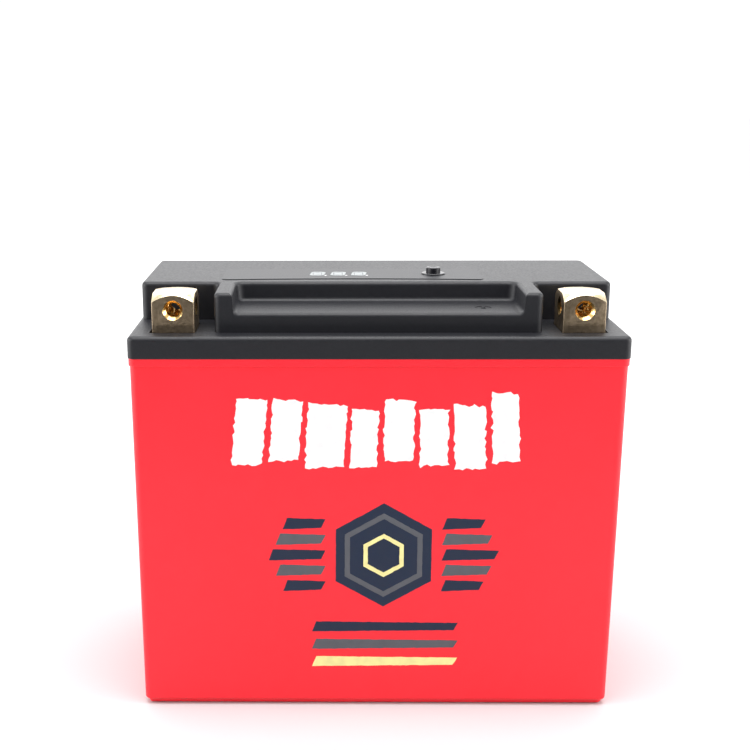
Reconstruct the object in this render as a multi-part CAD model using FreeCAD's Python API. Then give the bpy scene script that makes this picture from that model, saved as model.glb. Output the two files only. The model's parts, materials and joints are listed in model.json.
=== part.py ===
import FreeCAD, Part
import math
import os

# Lithium motorcycle battery: a moulded case and lid around four cells in series, their
# straps, a management board, and a charge indicator with a push button.
# Millimetres. The origin is the centre of the base. X runs along the length, Y from the
# terminal side (front, negative) to the back, Z up.

V = FreeCAD.Vector
UP = V(0, 0, 1)

# Outside
LENGTH = 175.0
WIDTH = 87.0
FLANGE_BOTTOM = 133.0
FLANGE_TOP = 141.0
SHELF_TOP = 148.0
LID_TOP = 155.0
WALL = 2.5

# Case
PLINTH_HEIGHT = 2.2
PLINTH_INSET = 1.3
PLINTH_RADIUS = 1.4
BODY_INSET = 0.55
DRAFT = 0.95
COLLAR_BOTTOM = 130.3
COLLAR_INSET = 0.15
CASE_CORNER = 2.6
SEAL_GROOVE_WIDTH = 1.1
SEAL_GROOVE_DEPTH = 0.8
SEAL_GAP = 0.05

# Lid
FLANGE_CORNER = 2.3
BLOCK_HALF_X = 86.2
BLOCK_BACK = 41.3
POCKET_X = 57.5
POCKET_BACK = -12.9
BLOCK_FRONT = -36.6
LID_EDGE_RADIUS = 1.5
LID_CORNER = 2.3
PAD_BOTTOM = 135.0
TONGUE_BOTTOM = 127.0
TONGUE_GAP = 0.3
TONGUE_WALL = 1.8
RECESS_HALF_BOTTOM = 50.7
RECESS_HALF_TOP = 51.3
RECESS_BACK_BOTTOM = -13.2
RECESS_BACK_TOP = -12.5
GATE_X = 37.7
GATE_Y = -26.6

# Terminals
TERMINAL_X = 71.9
TERMINAL_Y = -28.0
TERMINAL_WIDTH = 14.8
TERMINAL_DEPTH = 17.2
TERMINAL_TOP = 154.3
TERMINAL_FLAT_RADIUS = 8.5
TERMINAL_CHAMFER_ANGLE = 42.0
THREAD_Z = 148.9
THREAD_RADIUS = 2.5
COUNTERSINK_RADIUS = 3.5
FOOT_THICKNESS = 2.5
FOOT_INNER_X = 57.6
FOOT_OUTER_X = 81.8
FOOT_FRONT = -37.3
FOOT_BACK = -11.4
SLOT_INNER_GAP = 0.35
SLOT_OUTER_GAP = 1.1
SLOT_END_GAP = 0.4
FOOT_SCREWS = [(60.8, -28.0), (71.9, -15.0)]

# Cells
CELL_X = 27.0
CELL_Y = 70.0
CELL_Z = 100.0
CELL_PITCH = 29.0
BOTTOM_PAD = 3.0
POLE_Y = 24.0
POLE_RADIUS = 6.0
POLE_HEIGHT = 4.0
TRAY_THICKNESS = 3.0
STRAP = 1.5
BAR_WIDTH = 12.0

# Management board
BOARD_BOTTOM = 118.0
BOARD_THICKNESS = 1.6
BOARD_X = (-58.0, 30.0)
BOARD_Y = (-35.0, 30.0)
STANDOFFS = [(-54.0, 26.0), (-54.0, -12.0), (26.0, 11.0), (26.0, -31.0)]

# Balance leads, each routed from a face of the socket to the place where it drops onto its bar
SOCKET_HALF_X = 8.0
SOCKET_HALF_Y = 4.0
SOCKET_BOTTOM = 112.6
LEAD_RADIUS = 0.6
LEAD_BEND = 1.5
LEAD_LEVEL = 115.4
LEAD_ROUTES = [
    [(-8.0, -3.0), (-20.0, -3.0), (-38.5, -10.0), (-38.5, -19.2)],
    [(-8.0, 0.0), (-18.0, 0.0), (-29.0, 10.0), (-29.0, 21.0)],
    [(0.0, -4.0), (0.0, -21.0)],
    [(8.0, 0.0), (15.0, 0.0), (20.5, 8.0), (20.5, 21.0)],
    [(8.0, -3.0), (24.0, -3.0), (52.0, -14.0), (52.0, -22.0)],
]

# Indicator and push button
PANEL_THICKNESS = 0.25
WINDOW_XS = {"left": -21.5, "middle": -13.7, "right": -5.9}
INDICATOR_Y = 4.0
WINDOW_X = 5.4
WINDOW_Y = 8.8
WINDOW_RADIUS = 1.8
WINDOW_TURN = -7.0
WINDOW_GAP = 0.1
SMALL_BOARD_BOTTOM = 138.4
SMALL_BOARD_X = (-35.0, 38.0)
SMALL_BOARD_Y = (-7.0, 15.0)
POSTS = [(-31.0, 4.0), (34.0, 4.0)]
BUTTON_X = 22.3
BUTTON_RADIUS = 2.7
BUTTON_TOP = 157.9
BUTTON_TRAVEL = 1.2
BEZEL_RADIUS = 4.45
BARREL_RADIUS = 3.5
BARREL_BOTTOM = 147.0
RUNNING_GAP = 0.08

CELLS_BOTTOM = WALL + BOTTOM_PAD
CELLS_TOP = CELLS_BOTTOM + CELL_Z
POLE_TOP = CELLS_TOP + POLE_HEIGHT
BOARD_TOP = BOARD_BOTTOM + BOARD_THICKNESS
SMALL_BOARD_TOP = SMALL_BOARD_BOTTOM + BOARD_THICKNESS
FOOT_BOTTOM = PAD_BOTTOM - FOOT_THICKNESS
CELL_XS = [(i - 1.5) * CELL_PITCH for i in range(4)]


# ---------------------------------------------------------------- helpers

def box(x0, x1, y0, y1, z0, z1):
    """Box between two corners."""
    return Part.makeBox(x1 - x0, y1 - y0, z1 - z0, V(x0, y0, z0))


def cylinder(radius, x, y, z0, z1):
    """Upright cylinder from z0 to z1."""
    return Part.makeCylinder(radius, z1 - z0, V(x, y, z0))


def hexagon(across_flats, x, y, z0, z1):
    """Upright hexagonal prism."""
    radius = across_flats / math.sqrt(3)
    points = [V(x + radius * math.cos(math.radians(60 * i)),
                y + radius * math.sin(math.radians(60 * i)), z0) for i in range(7)]
    return Part.Face(Part.makePolygon(points)).extrude(V(0, 0, z1 - z0))


def rounded_wire(half_x, half_y, radius, z):
    """Closed wire of a rectangle with round corners, centred on the Z axis."""
    arcs = []
    for sx, sy, start in ((1, 1, 0), (-1, 1, 90), (-1, -1, 180), (1, -1, 270)):
        centre = V(sx * (half_x - radius), sy * (half_y - radius), z)
        arcs.append(Part.makeCircle(radius, centre, UP, start, start + 90))
    edges = []
    for arc, following in zip(arcs, arcs[1:] + arcs[:1]):
        edges.append(arc)
        edges.append(Part.makeLine(arc.Vertexes[-1].Point, following.Vertexes[0].Point))
    return Part.Wire(edges)


def rounded_box(half_x, half_y, radius, z0, z1):
    """Prism of a round-cornered rectangle, centred on the Z axis."""
    return Part.Face(rounded_wire(half_x, half_y, radius, z0)).extrude(V(0, 0, z1 - z0))


def tapered_box(low, high, radius, z0, z1):
    """Round-cornered box whose half sizes go from low at z0 to high at z1."""
    wires = [rounded_wire(*low, radius, z0), rounded_wire(*high, radius, z1)]
    return Part.makeLoft(wires, True, True)


def is_level(edge, z):
    """Whether a whole edge lies at height z."""
    return abs(edge.BoundBox.ZMin - z) < 0.01 and abs(edge.BoundBox.ZMax - z) < 0.01


def is_upright(edge):
    """Whether an edge is a vertical line."""
    bounds = edge.BoundBox
    return bounds.XLength < 0.01 and bounds.YLength < 0.01


def round_level_edges(shape, radius, z):
    """Shape with every edge at height z rounded."""
    return shape.makeFillet(radius, [e for e in shape.Edges if is_level(e, z)])


def round_uprights(shape, radius):
    """Shape with its vertical edges rounded."""
    return shape.makeFillet(radius, [e for e in shape.Edges if is_upright(e)])


def try_fillet(shape, radius, edges):
    """Rounds the edges in one go, or leaves them sharp where they cannot be rounded."""
    try:
        rounded = shape.makeFillet(radius, edges)
    except Part.OCCError:
        return shape
    return rounded if rounded.isValid() else shape


def mirrored(shape):
    """The same piece on the other end of the battery."""
    return shape.mirror(V(0, 0, 0), V(1, 0, 0))


def on_both_ends(shapes):
    """The shapes, followed by their mirror images."""
    return list(shapes) + [mirrored(s) for s in shapes]


def pan_screw(x, y, seat, head_radius, head_height, shank_radius, length, points_up=False):
    """Round-headed cross-recess screw whose head rests on height seat."""
    head = cylinder(head_radius, 0, 0, 0, head_height)
    head = round_level_edges(head, 0.4 * head_height, head_height)
    shank = cylinder(shank_radius, 0, 0, -length, 0)
    slot = box(-0.6 * head_radius, 0.6 * head_radius, -0.3, 0.3, 0.5 * head_height, head_height)
    screw = head.fuse(shank).cut(slot).cut(slot.rotated(V(0, 0, 0), UP, 90)).removeSplitter()
    if points_up:
        screw = screw.rotated(V(0, 0, 0), V(1, 0, 0), 180)
    return screw.translated(V(x, y, seat))


def bent_wire(points, radius, bend):
    """Round tube along straight runs joined by tangent arcs of the given bend radius."""
    corners = [V(*p) for p in points]
    edges = []
    start = corners[0]
    for before, corner, after in zip(corners, corners[1:], corners[2:]):
        inward = (before - corner).normalize()
        outward = (after - corner).normalize()
        half_angle = inward.getAngle(outward) / 2
        setback = bend / math.tan(half_angle)
        bisector = (inward + outward).normalize()
        middle = corner + bisector * (bend / math.sin(half_angle) - bend)
        first = corner + inward * setback
        last = corner + outward * setback
        edges.append(Part.LineSegment(start, first).toShape())
        edges.append(Part.Arc(first, middle, last).toShape())
        start = last
    edges.append(Part.LineSegment(start, corners[-1]).toShape())
    path = Part.Wire(edges)
    profile = Part.Wire([Part.makeCircle(radius, corners[0], corners[1] - corners[0])])
    return path.makePipeShell([profile], True, True)


def save(name, shapes):
    """Writes one sub-part; several solids are written as a group."""
    solids = [s for shape in (shapes if isinstance(shapes, list) else [shapes]) for s in shape.Solids]
    whole = solids[0] if len(solids) == 1 else Part.makeCompound(solids)
    for solid in solids:
        if not solid.isValid():
            raise ValueError(name + " is not a valid solid")
    whole.exportStep("parts/" + name + ".step")


# ---------------------------------------------------------------- case and lid

def half_sizes(inset):
    """Half length and half width, so far inside the lid flange."""
    return LENGTH / 2 - inset, WIDTH / 2 - inset


def make_case():
    """Open moulded box with a drafted body, a stepped plinth and a collar at the rim."""
    foot = rounded_box(*half_sizes(BODY_INSET + DRAFT + PLINTH_INSET), CASE_CORNER - 1, 0, PLINTH_HEIGHT)
    foot = round_level_edges(foot, PLINTH_RADIUS, 0)
    body = tapered_box(half_sizes(BODY_INSET + DRAFT), half_sizes(BODY_INSET),
                       CASE_CORNER, PLINTH_HEIGHT, COLLAR_BOTTOM)
    body = round_level_edges(body, 0.7, PLINTH_HEIGHT)
    collar = rounded_box(*half_sizes(COLLAR_INSET), CASE_CORNER, COLLAR_BOTTOM, FLANGE_BOTTOM)
    collar = round_level_edges(collar, 0.3, COLLAR_BOTTOM)
    inside = tapered_box(half_sizes(BODY_INSET + DRAFT + WALL), half_sizes(BODY_INSET + WALL),
                         CASE_CORNER - 1.5, WALL, FLANGE_BOTTOM + 1)
    groove = seal_ring(SEAL_GROOVE_WIDTH, FLANGE_BOTTOM - SEAL_GROOVE_DEPTH, FLANGE_BOTTOM + 1)
    return foot.fuse([body, collar]).cut([inside, groove]).removeSplitter()


def seal_ring(width, z0, z1):
    """Ring of the given width on the middle line of the rim."""
    middle = (BODY_INSET + WALL + COLLAR_INSET) / 2
    outer = rounded_box(*half_sizes(middle - width / 2), CASE_CORNER - 0.5, z0, z1)
    inner = rounded_box(*half_sizes(middle + width / 2), CASE_CORNER - 0.5 - width, z0 - 1, z1 + 1)
    return outer.cut(inner)


def make_lid_seal():
    """Rubber ring lying in the groove of the case rim."""
    return seal_ring(SEAL_GROOVE_WIDTH - 2 * SEAL_GAP,
                     FLANGE_BOTTOM - SEAL_GROOVE_DEPTH + SEAL_GAP, FLANGE_BOTTOM)


def raised_block():
    """Upper step of the lid: full length behind the terminals, narrower between them."""
    outline = [(-BLOCK_HALF_X, POCKET_BACK), (-POCKET_X, POCKET_BACK), (-POCKET_X, BLOCK_FRONT),
               (POCKET_X, BLOCK_FRONT), (POCKET_X, POCKET_BACK), (BLOCK_HALF_X, POCKET_BACK),
               (BLOCK_HALF_X, BLOCK_BACK), (-BLOCK_HALF_X, BLOCK_BACK)]
    points = [V(x, y, FLANGE_TOP - 2) for x, y in outline]
    face = Part.Face(Part.makePolygon(points + points[:1]))
    block = face.extrude(V(0, 0, LID_TOP - FLANGE_TOP + 2))
    return round_uprights(block, LID_CORNER)


def shelf_recess():
    """Space above the hold-down shelf, open to the front, with leaning side and back walls."""
    front = -60.0
    wires = []
    for half, back, z in ((RECESS_HALF_BOTTOM, RECESS_BACK_BOTTOM, SHELF_TOP),
                          (RECESS_HALF_TOP, RECESS_BACK_TOP, LID_TOP)):
        wire = rounded_wire(half, (back - front) / 2, 3.0, z)
        wires.append(wire.translated(V(0, (back + front) / 2, 0)))
    recess = Part.makeLoft(wires, True, True)
    tops = [face for face in recess.Faces if face.BoundBox.ZMin > LID_TOP - 0.01]
    return recess.fuse(tops[0].extrude(V(0, 0, 5)))


def lid_shell():
    """Outer form of the lid with its hollow, before the holes."""
    flange = rounded_box(*half_sizes(0), FLANGE_CORNER, FLANGE_BOTTOM, FLANGE_TOP)
    flange = round_level_edges(flange, 1.7, FLANGE_TOP)
    flange = round_level_edges(flange, 0.3, FLANGE_BOTTOM)
    outside = flange.fuse(raised_block()).removeSplitter()
    outside = outside.cut(shelf_recess())
    crests = [e for e in outside.Edges if is_level(e, LID_TOP) or is_level(e, SHELF_TOP)]
    outside = outside.makeFillet(LID_EDGE_RADIUS, crests)
    return outside.cut(lid_hollow())


def lid_hollow():
    """Space inside the lid: flange, raised back and the part below the shelf."""
    under_flange = rounded_box(*half_sizes(WALL), 1.5, FLANGE_BOTTOM - 1, FLANGE_TOP - WALL)
    pads = on_both_ends([box(POCKET_X - WALL, LENGTH / 2, -WIDTH / 2, POCKET_BACK + WALL,
                             PAD_BOTTOM, FLANGE_TOP)])
    under_back = box(-BLOCK_HALF_X + WALL, BLOCK_HALF_X - WALL, POCKET_BACK + WALL,
                     BLOCK_BACK - WALL, FLANGE_BOTTOM, LID_TOP - WALL)
    under_shelf = box(-POCKET_X + WALL, POCKET_X - WALL, BLOCK_FRONT + WALL,
                      POCKET_BACK + WALL, FLANGE_BOTTOM, SHELF_TOP - WALL)
    under_back = round_uprights(under_back, 1.5)
    return under_flange.cut(pads).fuse([under_back, under_shelf]).removeSplitter()


def tongue():
    """Rib under the lid that locates it inside the case."""
    outer_half = half_sizes(BODY_INSET + WALL + TONGUE_GAP)
    inner_half = half_sizes(BODY_INSET + WALL + TONGUE_GAP + TONGUE_WALL)
    top = FLANGE_TOP - WALL + 0.5
    outer = rounded_box(*outer_half, CASE_CORNER - 1.8, TONGUE_BOTTOM, top)
    inner = rounded_box(*inner_half, 0.8, TONGUE_BOTTOM - 1, top + 1)
    low_ring = outer.cut(inner)
    return low_ring.cut(box(-BLOCK_HALF_X + 5, BLOCK_HALF_X - 5, 20, 60, FLANGE_BOTTOM + 2, top + 1))


def terminal_slot():
    """Opening in the pocket floor that the right terminal stands in."""
    return box(TERMINAL_X - TERMINAL_WIDTH / 2 - SLOT_INNER_GAP,
               TERMINAL_X + TERMINAL_WIDTH / 2 + SLOT_OUTER_GAP,
               TERMINAL_Y - TERMINAL_DEPTH / 2 - SLOT_END_GAP,
               TERMINAL_Y + TERMINAL_DEPTH / 2 + SLOT_END_GAP, PAD_BOTTOM - 1, FLANGE_TOP + 1)


def make_lid():
    """Moulded lid with terminal slots, windows, the switch hole and the board posts."""
    posts = [cylinder(3.0, x, y, SMALL_BOARD_TOP, LID_TOP - WALL + 0.5) for x, y in POSTS]
    gate_nub = Part.makeCone(0.9, 0.6, 0.55, V(GATE_X, GATE_Y, SHELF_TOP - 0.2))
    lid = lid_shell().fuse([tongue()] + posts)
    pilots = [cylinder(1.1, x, y, SMALL_BOARD_TOP - 1, SMALL_BOARD_TOP + 8) for x, y in POSTS]
    foot_pilots = on_both_ends([cylinder(1.25, x, y, PAD_BOTTOM - 1, PAD_BOTTOM + 4.5)
                                for x, y in FOOT_SCREWS])
    slots = on_both_ends([terminal_slot()])
    windows = [window_prism(x, WINDOW_GAP, LID_TOP - WALL - 1, LID_TOP + 1)
               for x in WINDOW_XS.values()]
    switch_hole = cylinder(BARREL_RADIUS + 0.1, BUTTON_X, INDICATOR_Y, LID_TOP - WALL - 1, LID_TOP + 1)
    gate_dish = cylinder(3.0, GATE_X, GATE_Y, SHELF_TOP - 0.2, SHELF_TOP + 1)
    lid = lid.cut(pilots + foot_pilots + slots + windows + [switch_hole, gate_dish])
    return lid.fuse(gate_nub).removeSplitter()


# ---------------------------------------------------------------- terminals and straps

def turned_bar():
    """Solid of revolution that gives the right terminal its turned top."""
    reach = 14.0
    slope = math.tan(math.radians(TERMINAL_CHAMFER_ANGLE))
    shoulder = TERMINAL_TOP - (reach - TERMINAL_FLAT_RADIUS) * slope
    outline = [(0, FOOT_BOTTOM), (reach, FOOT_BOTTOM), (reach, shoulder),
               (TERMINAL_FLAT_RADIUS, TERMINAL_TOP), (0, TERMINAL_TOP)]
    points = [V(TERMINAL_X + r, TERMINAL_Y, z) for r, z in outline]
    face = Part.Face(Part.makePolygon(points + points[:1]))
    return face.revolve(V(TERMINAL_X, TERMINAL_Y, 0), UP, 360)


def threaded_cross(half, direction):
    """Through hole along direction with a countersink at each face."""
    centre = V(TERMINAL_X, TERMINAL_Y, THREAD_Z)
    depth = COUNTERSINK_RADIUS - THREAD_RADIUS
    bore = Part.makeCylinder(THREAD_RADIUS, 2 * half + 2, centre - direction * (half + 1), direction)
    sinks = [Part.makeCone(COUNTERSINK_RADIUS, THREAD_RADIUS, depth, centre + side * half, -side)
             for side in (direction, -direction)]
    return bore.fuse(sinks)


def make_right_terminal():
    """Square brass post with a turned top, cross-drilled, on a wide foot."""
    post = box(TERMINAL_X - TERMINAL_WIDTH / 2, TERMINAL_X + TERMINAL_WIDTH / 2,
               TERMINAL_Y - TERMINAL_DEPTH / 2, TERMINAL_Y + TERMINAL_DEPTH / 2,
               FOOT_BOTTOM, TERMINAL_TOP)
    post = round_uprights(post, 0.25).common(turned_bar())
    foot = round_uprights(box(FOOT_INNER_X, FOOT_OUTER_X, FOOT_FRONT, FOOT_BACK,
                              FOOT_BOTTOM, PAD_BOTTOM), 1.0)
    cuts = [threaded_cross(TERMINAL_DEPTH / 2, V(0, 1, 0)),
            threaded_cross(TERMINAL_WIDTH / 2, V(1, 0, 0)),
            Part.makeCone(0.1, 0.5, 0.4, V(TERMINAL_X, TERMINAL_Y, TERMINAL_TOP - 0.4)),
            cylinder(2.1, TERMINAL_X, TERMINAL_Y, FOOT_BOTTOM - 1, FOOT_BOTTOM + 9)]
    cuts += [cylinder(1.7, x, y, FOOT_BOTTOM - 1, PAD_BOTTOM + 1) for x, y in FOOT_SCREWS]
    return post.fuse(foot).cut(cuts).removeSplitter()


def rounded_strap(pieces, holes, radius=1.2):
    """Flat strap of joined plates with rounded corners and screw holes."""
    strap = pieces[0].fuse(pieces[1:]).removeSplitter()
    along_y = [e for e in strap.Edges if e.BoundBox.XLength < 0.01 and e.BoundBox.ZLength < 0.01
               and e.BoundBox.YLength > STRAP + 0.1]
    bends = [e for e in along_y if not touches_end(e, strap.BoundBox)]
    return try_fillet(strap, radius, bends).cut(holes)


def touches_end(edge, bounds):
    """Whether an edge lies at the strap's end in X."""
    x = edge.BoundBox.XMin
    return min(abs(x - bounds.XMin), abs(x - bounds.XMax)) < 0.01


def make_positive_strap():
    """Copper strap from the last cell's plus pole up to the right terminal's foot."""
    y0 = -33.0
    y1 = -19.0
    rise = 64.5
    pole_x = CELL_XS[3]
    pieces = [box(pole_x - 6, rise + STRAP, y0, y1, POLE_TOP, POLE_TOP + STRAP),
              box(rise, rise + STRAP, y0, y1, POLE_TOP, FOOT_BOTTOM),
              box(rise, TERMINAL_X + 6.5, y0, y1, FOOT_BOTTOM - STRAP, FOOT_BOTTOM)]
    holes = [cylinder(2.65, pole_x, -POLE_Y, POLE_TOP - 1, POLE_TOP + 3),
             cylinder(2.65, TERMINAL_X, TERMINAL_Y, FOOT_BOTTOM - 3, FOOT_BOTTOM + 1)]
    return rounded_strap(pieces, holes)


def make_negative_strap():
    """Copper strap from the left terminal's foot down to the management board."""
    y0 = -33.0
    y1 = -19.0
    drop = -64.5
    pieces = [box(-TERMINAL_X - 6.5, drop, y0, y1, FOOT_BOTTOM - STRAP, FOOT_BOTTOM),
              box(drop - STRAP, drop, y0, y1, BOARD_TOP, FOOT_BOTTOM),
              box(drop - STRAP, -46.0, y0, y1, BOARD_TOP, BOARD_TOP + STRAP)]
    holes = [cylinder(2.65, -TERMINAL_X, TERMINAL_Y, FOOT_BOTTOM - 3, FOOT_BOTTOM + 1),
             cylinder(2.15, -51.0, -26.0, BOARD_TOP - 1, BOARD_TOP + 3)]
    return rounded_strap(pieces, holes)


def make_cell_minus_strap():
    """Copper strap from the first cell's minus pole up to the underside of the board."""
    y0 = -POLE_Y - BAR_WIDTH / 2
    y1 = -POLE_Y + BAR_WIDTH / 2
    rise = -36.0
    pole_x = CELL_XS[0]
    pieces = [box(pole_x - 6, rise + STRAP, y0, y1, POLE_TOP, POLE_TOP + STRAP),
              box(rise, rise + STRAP, y0, y1, POLE_TOP, BOARD_BOTTOM),
              box(rise, -23.0, y0, y1, BOARD_BOTTOM - STRAP, BOARD_BOTTOM)]
    holes = [cylinder(2.65, pole_x, -POLE_Y, POLE_TOP - 1, POLE_TOP + 3),
             cylinder(2.15, -28.5, -POLE_Y, BOARD_BOTTOM - 3, BOARD_BOTTOM + 1)]
    return rounded_strap(pieces, holes)


def make_series_bars():
    """Three bars that join the cells' poles in series."""
    bars = []
    for first, y in ((0, POLE_Y), (1, -POLE_Y), (2, POLE_Y)):
        x0 = CELL_XS[first]
        x1 = CELL_XS[first + 1]
        bar = box(x0 - 6, x1 + 6, y - BAR_WIDTH / 2, y + BAR_WIDTH / 2, POLE_TOP, POLE_TOP + STRAP)
        bar = round_uprights(bar, 3.0)
        holes = [cylinder(2.65, x, y, POLE_TOP - 1, POLE_TOP + 3) for x in (x0, x1)]
        bars.append(bar.cut(holes))
    return bars


# ---------------------------------------------------------------- cells and packing

def poles():
    """Centre and polarity of every pole; plus and minus change sides from cell to cell."""
    found = []
    for index, x in enumerate(CELL_XS):
        plus_side = 1 if index % 2 == 0 else -1
        found.append((x, plus_side * POLE_Y, "plus"))
        found.append((x, -plus_side * POLE_Y, "minus"))
    return found


def make_cell(x):
    """One prismatic cell can with its rolled lid edge and vent recess."""
    can = box(x - CELL_X / 2, x + CELL_X / 2, -CELL_Y / 2, CELL_Y / 2, CELLS_BOTTOM, CELLS_TOP)
    can = round_uprights(can, 2.5)
    can = round_level_edges(can, 1.0, CELLS_BOTTOM)
    vent = cylinder(5.0, x, 0, CELLS_TOP - 0.8, CELLS_TOP + 1)
    return can.cut(vent)


def make_poles(polarity):
    """All poles of one polarity, each with its threaded hole."""
    found = []
    for x, y, sign in poles():
        if sign == polarity:
            pole = round_level_edges(cylinder(POLE_RADIUS, x, y, CELLS_TOP, POLE_TOP), 0.4, POLE_TOP)
            found.append(pole.cut(cylinder(2.1, x, y, CELLS_TOP - 1, POLE_TOP + 1)))
    return found


def make_vent_discs():
    """Thin scored discs in the cells' vent recesses."""
    discs = []
    for x in CELL_XS:
        disc = cylinder(4.9, x, 0, CELLS_TOP - 0.7, CELLS_TOP - 0.3)
        score = box(x - 3.5, x + 3.5, -0.2, 0.2, CELLS_TOP - 0.45, CELLS_TOP)
        discs.append(disc.cut(score))
    return discs


def make_cell_tray():
    """Plastic plate that spaces the cell tops, with holes for the poles and vents."""
    inside = half_sizes(BODY_INSET + WALL + 1.0)
    plate = rounded_box(inside[0], inside[1], 3.0, CELLS_TOP, CELLS_TOP + TRAY_THICKNESS)
    holes = [cylinder(POLE_RADIUS + 0.5, x, y, CELLS_TOP - 1, CELLS_TOP + 5) for x, y, _ in poles()]
    holes += [cylinder(5.5, x, 0, CELLS_TOP - 1, CELLS_TOP + 5) for x in CELL_XS]
    holes += [cylinder(1.3, x, y, CELLS_TOP + 0.5, CELLS_TOP + 5) for x, y in STANDOFFS]
    return plate.cut(holes)


def make_dividers():
    """Thin insulating sheets between neighbouring cells, by name."""
    sheets = {}
    for index, (x0, x1) in enumerate(zip(CELL_XS, CELL_XS[1:])):
        sheet = box(x0 + CELL_X / 2 + 0.1, x1 - CELL_X / 2 - 0.1, -CELL_Y / 2, CELL_Y / 2,
                    CELLS_BOTTOM, CELLS_TOP - 1)
        sheets["cell_divider_" + str(index + 1)] = sheet
    return sheets


def make_end_foam():
    """Foam block that fills the right end of the case beside the cells."""
    x0 = CELL_XS[3] + CELL_X / 2 + 0.2
    x1 = LENGTH / 2 - BODY_INSET - DRAFT - WALL - 0.2
    half_y = WIDTH / 2 - BODY_INSET - DRAFT - WALL - 1.5
    foam = box(x0, x1, -half_y, half_y, CELLS_BOTTOM, CELLS_TOP - 0.5)
    pockets = [box(x0 + 6, x1 - 6, side * 18 - 10, side * 18 + 10, CELLS_BOTTOM + 25, CELLS_TOP)
               for side in (-1, 1)]
    return round_uprights(foam.cut(pockets), 2.0)


def make_side_foam(side):
    """Foam sheet between the cells and the front (side -1) or back (side 1) wall."""
    near = CELL_Y / 2 + 0.2
    far = WIDTH / 2 - BODY_INSET - DRAFT - WALL - 0.2
    half_x = CELL_XS[3] + CELL_X / 2
    y0, y1 = sorted((side * near, side * far))
    return box(-half_x, half_x, y0, y1, CELLS_BOTTOM, CELLS_TOP - 0.5)


def make_bottom_pad():
    """Foam mat under the cells with round relief holes."""
    half = half_sizes(BODY_INSET + DRAFT + WALL + 0.3)
    mat = rounded_box(half[0], half[1], 2.0, WALL, CELLS_BOTTOM)
    holes = [cylinder(4.0, x, y, 0, CELLS_BOTTOM + 1) for x in CELL_XS for y in (-20, 0, 20)]
    return mat.cut(holes)


# ---------------------------------------------------------------- management board

def make_bms_board():
    """Printed circuit board that guards and balances the cells."""
    board = box(*BOARD_X, *BOARD_Y, BOARD_BOTTOM, BOARD_TOP)
    board = round_uprights(board, 2.0)
    holes = [cylinder(1.6, x, y, BOARD_BOTTOM - 1, BOARD_TOP + 1) for x, y in STANDOFFS]
    holes += [cylinder(2.15, x, y, BOARD_BOTTOM - 1, BOARD_TOP + 1) for x, y in lug_holes()]
    return board.cut(holes)


def lug_holes():
    """Places where the two minus straps are screwed to the board."""
    return [(-51.0, -26.0), (-28.5, -POLE_Y)]


def make_standoffs():
    """Hexagonal spacers between the cell tray and the board, with studs into the tray."""
    spacers = []
    base = CELLS_TOP + TRAY_THICKNESS
    for x, y in STANDOFFS:
        spacer = hexagon(5.5, x, y, base, BOARD_BOTTOM)
        stud = cylinder(1.25, x, y, CELLS_TOP + 0.6, base + 0.5)
        hole = cylinder(1.25, x, y, BOARD_BOTTOM - 5, BOARD_BOTTOM + 1)
        spacers.append(spacer.fuse(stud).cut(hole).removeSplitter())
    return spacers


def make_board_screws():
    """Screws that hold the board on its spacers."""
    return [pan_screw(x, y, BOARD_TOP, 2.75, 1.8, 1.2, 5.5) for x, y in STANDOFFS]


def make_lug_screws():
    """Screws that clamp the two minus straps to the board."""
    above_strap = BOARD_TOP + STRAP
    seats = [above_strap, BOARD_TOP]
    return [pan_screw(x, y, seat, 3.9, 2.4, 2.0, seat - BOARD_BOTTOM + STRAP + 3.5)
            for (x, y), seat in zip(lug_holes(), seats)]


def make_lug_nuts():
    """Nuts under the board for the strap screws."""
    seats = [BOARD_BOTTOM, BOARD_BOTTOM - STRAP]
    nuts = []
    for (x, y), seat in zip(lug_holes(), seats):
        nut = hexagon(7.0, x, y, seat - 3.0, seat)
        nuts.append(nut.cut(cylinder(2.05, x, y, seat - 4, seat + 1)))
    return nuts


def transistor_xs():
    """Places of the power transistors along the board."""
    return [-42.0 + 12.0 * i for i in range(6)]


def make_transistors():
    """Row of power transistors with their moulded bodies and metal tabs."""
    found = []
    for x in transistor_xs():
        body = box(x - 5, x + 5, 12, 21, BOARD_TOP, BOARD_TOP + 4.4)
        body = round_level_edges(body, 0.4, BOARD_TOP + 4.4)
        tab = box(x - 4.8, x + 4.8, 21, 23, BOARD_TOP, BOARD_TOP + 1.3)
        found.append(body.fuse(tab).removeSplitter())
    return found


def make_heat_spreader():
    """Finned aluminium bar that lies on the transistors."""
    x0 = transistor_xs()[0] - 7
    x1 = transistor_xs()[-1] + 7
    base = BOARD_TOP + 4.4
    bar = box(x0, x1, 10.5, 22.5, base, base + 2)
    fins = [box(x0, x1, y, y + 1.2, base + 2, base + 5) for y in (10.5, 14.1, 17.7, 21.3)]
    return bar.fuse(fins).removeSplitter()


def make_capacitors():
    """Three upright can capacitors near the plus side of the board."""
    cans = []
    for i in range(3):
        can = cylinder(3.1, 4.0 + 9.0 * i, -8.0, BOARD_TOP, BOARD_TOP + 7)
        cans.append(round_level_edges(can, 0.5, BOARD_TOP + 7))
    return cans


def make_controller_chip():
    """Flat chip in the middle of the board."""
    chip = box(-20, -10, -7, 3, BOARD_TOP, BOARD_TOP + 1.4)
    return round_level_edges(chip, 0.3, BOARD_TOP + 1.4)


def make_balance_socket():
    """Socket under the board that takes the balance leads."""
    return box(-SOCKET_HALF_X, SOCKET_HALF_X, -SOCKET_HALF_Y, SOCKET_HALF_Y, SOCKET_BOTTOM, BOARD_BOTTOM)


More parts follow.
